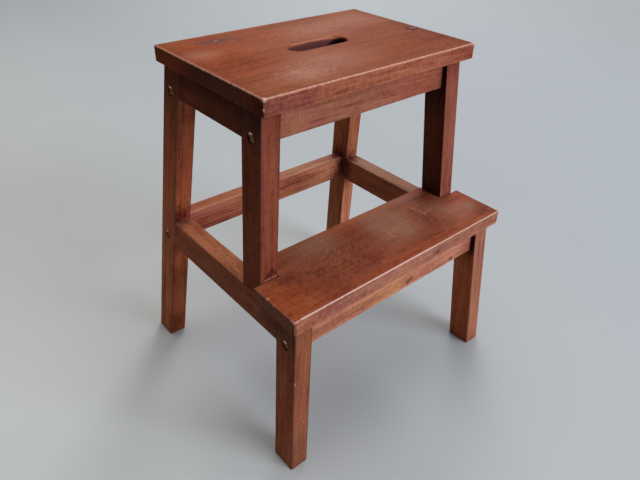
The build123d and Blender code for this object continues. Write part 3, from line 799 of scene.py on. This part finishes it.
# Most fades here paint light: shade at the tops of the faces, under the boards, and light lower down, near
# the floor.
FRAME_FINISHES = {
    "upper_post_left": Finish(
        tint=(0.81, 0.82, 0.92), front_light_tint=(1.12, 1.12, 1.22), dark_arris=0.5, marks=mark_upper_post_left,
        fades=(
            Fade("left", 0.42, 0.475, (0.48, 0.74, 0.86)),
            Fade("front", 0.31, 0.27, (0.95, 0.78, 0.82)),
        )),
    "upper_post_right": Finish(
        tint=(1.00, 1.20, 1.50), front_light_tint=(1.03, 1.00, 1.14), dark_arris=0.1,
        marks=shadowed_end("top_front_rail"),
        fades=(
            Fade("left", 0.20, 0.27, (0.51, 0.51, 0.53)),
            Fade("left", 0.375, 0.44, (0.40, 0.46, 0.54)),
            Fade("left", 0.41, 0.37, (1.10, 1.08, 1.10)),
            Fade("left", 0.34, 0.28, (0.72, 1.14, 1.20)),
            Fade("front", 0.42, 0.47, (0.86, 0.72, 0.76)),
        )),
    "upper_side_rail_left": Finish(
        tint=(0.54, 0.56, 0.64), dark_arris=0.5, marks=mark_upper_side_rail_left),
    "front_leg_left": Finish(
        tint=(1.34, 1.52, 1.58), front_light_tint=(0.76, 0.83, 0.88), dark_arris=0.5, marks=mark_front_leg_left,
        fades=(
            Fade("left", 0.165, 0.235, (0.50, 0.65, 0.84)),
            Fade("left", 0.05, 0.00, (1.12, 1.30, 1.18)),
            Fade("front", 0.10, 0.03, (0.84, 0.88, 0.90)),
        )),
    "front_leg_right": Finish(
        tint=(1.56, 1.70, 1.54), front_light_tint=(0.86, 1.13, 1.62), dark_arris=0.1,
        marks=shadowed_end("step_front_rail"),
        fades=(Fade("left", 0.150, 0.225, (0.28, 0.24, 0.22)),)),
    "lower_side_rail_left": Finish(
        tint=(1.18, 1.38, 1.62), upper_sheen_tint=(1.38, 1.52, 1.40), dark_arris=0.1,
        marks=mark_lower_side_rail_left,
        fades=(
            Fade("left", 0.05, 0.13, (1.22, 1.16, 1.12)),
            Fade("left", -0.06, -0.15, (0.70, 0.90, 1.10)),
            Fade("upper", 0.03, -0.04, (1.26, 1.40, 1.34)),
            Fade("upper", 0.02, 0.07, (0.80, 0.77, 0.80)),
        )),
    "lower_side_rail_right": Finish(
        tint=(1.05, 1.22, 1.36), upper_sheen_tint=(1.00, 1.55, 2.05), dark_ends=0.5,
        marks=mark_rear_corner),
    "rear_leg_left": Finish(
        tint=(1.62, 1.75, 1.62), front_light_tint=(0.74, 0.68, 0.69), streaks=0.55, dark_arris=0.5,
        marks=mark_rear_leg_left,
        fades=(
            Fade("left", 0.33, 0.47, (0.42, 0.44, 0.58)),
            Fade("left", 0.27, 0.18, (1.10, 1.22, 1.28)),
            Fade("front", 0.33, 0.46, (1.90, 2.30, 2.50)),
            Fade("front", 0.09, 0.02, (0.66, 0.62, 0.58)),
        )),
    "rear_leg_right": Finish(
        tint=(1.26, 1.50, 1.50), front_light_tint=(1.12, 1.12, 1.22), streaks=0.45, dark_arris=0.5,
        marks=mark_rear_corner,
        fades=(Fade("front", 0.24, 0.20, (1.30, 1.50, 1.50)),)),
}


def dress(node, material):
    """Gives every material slot of a frame node one material."""
    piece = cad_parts[node]
    if not piece.material_slots:
        raise RuntimeError(f"{node} has no material slot")
    for slot in piece.material_slots:
        slot.material = material


class STOOL_OT_top_board(bpy.types.Operator):
    """Finishes the top board and its hand slot"""

    bl_idname = "stool.top_board"
    bl_label = "Top board"

    def execute(self, context):
        timber = timber_list()["top_board"]
        finish = Finish(
            tint=(0.85, 0.90, 0.84), front_light_tint=(1.59, 1.79, 2.42), clouds=0.24, mottle=0.30, top_wear_and_highlight=0.8,
            wear_reach=1.2, gloss=0.006, marks=mark_top_board,
            fades=(Fade("front", 0.08, 0.17, (0.90, 0.80, 0.78)),))
        dress("top_board", StainedWood(timber, context.scene.stool_stain, finish).material)
        return {"FINISHED"}


class STOOL_OT_step_board(bpy.types.Operator):
    """Finishes the step board"""

    bl_idname = "stool.step_board"
    bl_label = "Step board"

    def execute(self, context):
        timber = timber_list()["step_board"]
        finish = Finish(
            tint=(0.95, 0.95, 1.0), front_light_tint=(1.43, 2.11, 2.77), clouds=0.34, mottle=0.36, top_wear_and_highlight=0.8,
            wear_off_front=0.2, gloss=0.02, dark_ends=0.05, marks=mark_step_board)
        dress("step_board", StainedWood(timber, context.scene.stool_stain, finish).material)
        return {"FINISHED"}


class STOOL_OT_cross_rails(bpy.types.Operator):
    """Finishes the four rails that tie the side frames together"""

    bl_idname = "stool.cross_rails"
    bl_label = "Cross rails"

    def execute(self, context):
        timbers = timber_list()
        for rail, finish in CROSS_RAIL_FINISHES.items():
            dress(rail, StainedWood(timbers[rail], context.scene.stool_stain, finish).material)
        return {"FINISHED"}


class STOOL_OT_side_frames(bpy.types.Operator):
    """Finishes the legs, posts and side rails"""

    bl_idname = "stool.side_frames"
    bl_label = "Side frames"

    def execute(self, context):
        for name, timber in timber_list().items():
            if name.endswith(SIDES):
                finish = FRAME_FINISHES.get(name, Finish())
                dress(name, StainedWood(timber, context.scene.stool_stain, finish).material)
        return {"FINISHED"}


class STOOL_OT_bolts(bpy.types.Operator):
    """Finishes the bolt heads at the ends of the cross rails"""

    bl_idname = "stool.bolts"
    bl_label = "Bolts"

    def execute(self, context):
        fittings = context.scene.stool_fittings
        bronze = plated_metal("dark_bronze", fittings.bronze, fittings.bronze_worn_and_highlight, 0.27, 1.0)
        for rail in CROSS_RAILS:
            dress(f"{rail}_bolts", bronze)
        return {"FINISHED"}


class STOOL_OT_hidden_fasteners(bpy.types.Operator):
    """Finishes the barrel nuts, screws and dowels inside the joints"""

    bl_idname = "stool.hidden_fasteners"
    bl_label = "Nuts, screws and dowels"

    def execute(self, context):
        fittings = context.scene.stool_fittings
        worn_zinc = [min(1.0, channel * 1.25) for channel in fittings.zinc]
        zinc = plated_metal("zinc", fittings.zinc, worn_zinc, 0.40)
        beech = plain_dowel_wood(fittings.beech)
        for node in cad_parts:
            if node.endswith(("_nuts", "_screws")):
                dress(node, zinc)
            elif "_dowels" in node:
                dress(node, beech)
        return {"FINISHED"}


def room_brightness(nodes, direction):
    """How bright the room is in one direction: most to the right and above."""
    return nodes.ramp(nodes.dot(direction, BRIGHT_SIDE), -0.5, 1.0)


def backdrop_colour(nodes, brightness):
    """The pale backdrop."""
    return nodes.mix(brightness, *BACKDROP)


def seen_ray(nodes):
    """1 for rays from the camera, also by way of a mirror or glass; 0 for light that only bounces."""
    path = nodes.add("ShaderNodeLightPath").outputs
    seen = nodes.math("MAXIMUM", path["Is Camera Ray"], path["Is Transmission Ray"])
    return nodes.math("MAXIMUM", seen, path["Is Glossy Ray"])


def floor_material(colour):
    """Pale matt floor with painted light that makes it a little warmer and lighter on the left; it fades
    into the backdrop far away.
    """
    material = bpy.data.materials.new("pale_floor")
    material.use_nodes = True
    nodes = ShaderNodes(material.node_tree)
    position = nodes.add("ShaderNodeTexCoord").outputs["Object"]
    distance = nodes.length(position)
    mottle = nodes.noise(position, 3.0, 3.0)
    dark = [channel * 0.96 for channel in colour]
    seen = seen_ray(nodes)
    share = nodes.ramp(distance, *BOUNCE_REACH, *BOUNCE_SHARE)
    bounced = nodes.mix(1.0, nodes.join([share, share, share]), colour, "MULTIPLY")
    side = nodes.ramp(nodes.split(position)[X_AXIS], -FLOOR_PAINTED_LIGHT_REACH, FLOOR_PAINTED_LIGHT_REACH)
    painted_light = nodes.mix(side, *FLOOR_PAINTED_LIGHT)
    plain = nodes.mix(1.0, nodes.mix(mottle, dark, colour), painted_light, "MULTIPLY")
    tint = nodes.mix(seen, bounced, plain)
    shader = nodes.add("ShaderNodeBsdfPrincipled", {
        "Base Color": tint,
        "Roughness": 0.9,
        "Specular IOR Level": 0.0,
    })
    outward = nodes.vector("NORMALIZE", position)
    backdrop = backdrop_colour(nodes, room_brightness(nodes, outward))
    horizon = nodes.add("ShaderNodeEmission", {"Color": backdrop})
    far = nodes.math("MULTIPLY", seen, nodes.ramp(distance, *FLOOR_FADE))
    surface = nodes.add("ShaderNodeMixShader", {0: far, 1: shader.outputs[0], 2: horizon.outputs[0]})
    nodes.add("ShaderNodeOutputMaterial", {"Surface": surface.outputs[0]})
    return material


def lay_floor(stage):
    """A square floor under the feet."""
    half = stage.floor_size / 2
    corners = [(-half, -half, 0), (half, -half, 0), (half, half, 0), (-half, half, 0)]
    mesh = bpy.data.meshes.new("floor")
    mesh.from_pydata(corners, [], [(0, 1, 2, 3)])
    mesh.materials.append(floor_material(stage.floor))
    floor = bpy.data.objects.new("floor", mesh)
    bpy.context.scene.collection.objects.link(floor)


def hang_lamp(name, power, place, size, colour):
    """A soft square lamp that faces the stool."""
    lamp = bpy.data.lights.new(name, "AREA")
    lamp.shape = "RECTANGLE"
    lamp.size, lamp.size_y = size
    lamp.energy = power
    lamp.color = colour
    holder = bpy.data.objects.new(name, lamp)
    bpy.context.scene.collection.objects.link(holder)
    holder.location = place
    holder.rotation_euler = (Vector(STAGE_AIM) - Vector(place)).to_track_quat("-Z", "Y").to_euler()
    holder.visible_camera = False


def light_world(scene):
    """Soft light that is brighter from the right and above; the backdrop itself is pale."""
    world = bpy.data.worlds.new("studio")
    world.use_nodes = True
    scene.world = world
    nodes = ShaderNodes(world.node_tree)
    brightness = room_brightness(nodes, nodes.add("ShaderNodeTexCoord").outputs["Generated"])
    light = nodes.mix(brightness, *ROOM_LIGHT)
    colour = nodes.mix(seen_ray(nodes), light, backdrop_colour(nodes, brightness))
    background = nodes.add("ShaderNodeBackground", {"Color": colour})
    nodes.add("ShaderNodeOutputWorld", {"Surface": background.outputs[0]})


def place_camera(stage, scene):
    """The camera at the photograph's viewing angle."""
    camera = bpy.data.cameras.new("camera")
    camera.sensor_width = SENSOR_WIDTH
    camera.lens = stage.focal_pixels * SENSOR_WIDTH / IMAGE_WIDTH
    camera.clip_end = 200.0
    holder = bpy.data.objects.new("camera", camera)
    scene.collection.objects.link(holder)
    yaw, pitch, roll = stage.camera_turn
    forward = Vector((-sin(yaw) * cos(pitch), cos(yaw) * cos(pitch), sin(pitch)))
    level = Vector((cos(yaw), sin(yaw), 0.0))
    upright = level.cross(forward)
    right = level * cos(roll) + upright * sin(roll)
    up = upright * cos(roll) - level * sin(roll)
    turn = Matrix((right, up, -forward)).transposed().to_4x4()
    holder.matrix_world = Matrix.Translation(stage.camera_place) @ turn
    scene.camera = holder


class STOOL_OT_stage(bpy.types.Operator):
    """Lays the floor, hangs the lamps and places the camera"""

    bl_idname = "stool.stage"
    bl_label = "Stage"

    def execute(self, context):
        scene = context.scene
        stage = scene.stool_stage
        scene.view_settings.view_transform = "Standard"
        lay_floor(stage)
        for name, lamp in LAMPS.items():
            hang_lamp(name, getattr(stage, f"{name}_power"), **lamp)
        light_world(scene)
        place_camera(stage, scene)
        return {"FINISHED"}


OPERATORS = (
    STOOL_OT_top_board,
    STOOL_OT_step_board,
    STOOL_OT_cross_rails,
    STOOL_OT_side_frames,
    STOOL_OT_bolts,
    STOOL_OT_hidden_fasteners,
    STOOL_OT_stage,
)


class STOOL_PT_finish(bpy.types.Panel):
    """Lists the stool's finishing steps"""

    bl_idname = "STOOL_PT_finish"
    bl_label = "Stool finish"
    bl_space_type = "VIEW_3D"
    bl_region_type = "UI"
    bl_category = "Stool"

    def draw(self, context):
        for operator in OPERATORS:
            self.layout.operator(operator.bl_idname)
        for name in SETTINGS:
            box = self.layout.box()
            settings = getattr(context.scene, name)
            for key in settings.__annotations__:
                box.prop(settings, key)


SETTINGS = {
    "stool_stain": StainSettings,
    "stool_fittings": FittingSettings,
    "stool_stage": StageSettings,
}


def register():
    """Registers the settings, operators and panel."""
    for settings in SETTINGS.values():
        bpy.utils.register_class(settings)
    for name, settings in SETTINGS.items():
        setattr(bpy.types.Scene, name, PointerProperty(type=settings))
    for operator in OPERATORS:
        bpy.utils.register_class(operator)
    bpy.utils.register_class(STOOL_PT_finish)


def unregister():
    """Removes the panel, operators and settings."""
    bpy.utils.unregister_class(STOOL_PT_finish)
    for operator in reversed(OPERATORS):
        bpy.utils.unregister_class(operator)
    for name, settings in SETTINGS.items():
        delattr(bpy.types.Scene, name)
        bpy.utils.unregister_class(settings)


def main():
    """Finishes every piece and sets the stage."""
    register()
    bpy.ops.stool.top_board()
    bpy.ops.stool.step_board()
    bpy.ops.stool.cross_rails()
    bpy.ops.stool.side_frames()
    bpy.ops.stool.bolts()
    bpy.ops.stool.hidden_fasteners()
    bpy.ops.stool.stage()


if __name__ == "__main__":
    main()
